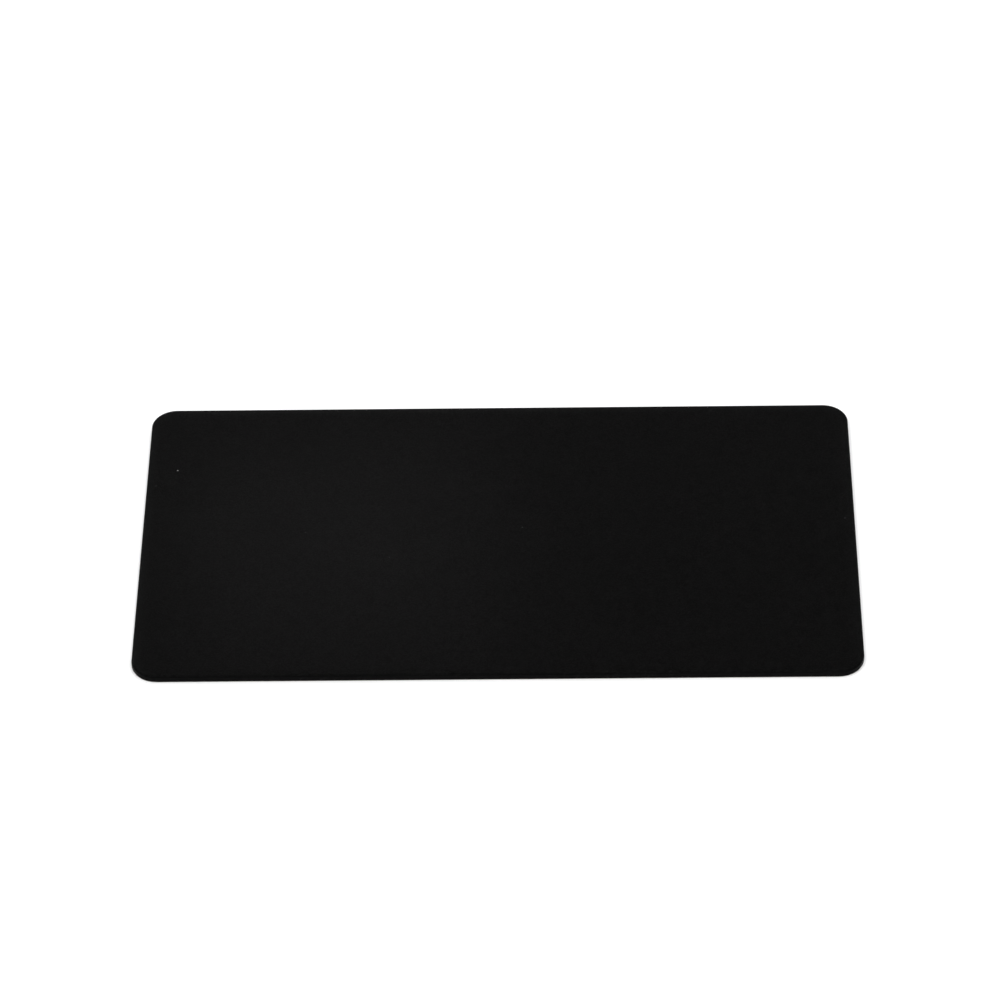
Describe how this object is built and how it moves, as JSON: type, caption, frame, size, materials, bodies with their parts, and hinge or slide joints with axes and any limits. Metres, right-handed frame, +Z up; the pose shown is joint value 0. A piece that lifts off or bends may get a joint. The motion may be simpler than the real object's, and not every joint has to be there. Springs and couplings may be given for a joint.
{
  "type": "kick plate",
  "caption": "Hole-free rectangular door kick plate with round corners and an eased front edge, bonded to the door by foam tape strips that still carry their release liners.",
  "frame": {"origin": "centre of the back, in the plane of the liners' outer faces", "axes": "+X along the door's width, +Y up the door, +Z out of the door towards the viewer; the plate lies face up when +Z is up"},
  "size_m": [0.3556, 0.2032, 0.0041],
  "materials": {
    "powder_coat": "matte",
    "foam_tape": "matte",
    "release_liner": "satin"
  },
  "bodies": {
    "root": {"face_plate": "powder_coat", "tape_top": "foam_tape", "tape_bottom": "foam_tape", "tape_left": "foam_tape", "tape_right": "foam_tape", "tape_mid_left": "foam_tape", "tape_mid_right": "foam_tape", "liner_top": "release_liner", "liner_bottom": "release_liner", "liner_left": "release_liner", "liner_right": "release_liner", "liner_mid_left": "release_liner", "liner_mid_right": "release_liner"}
  },
  "joints": []
}
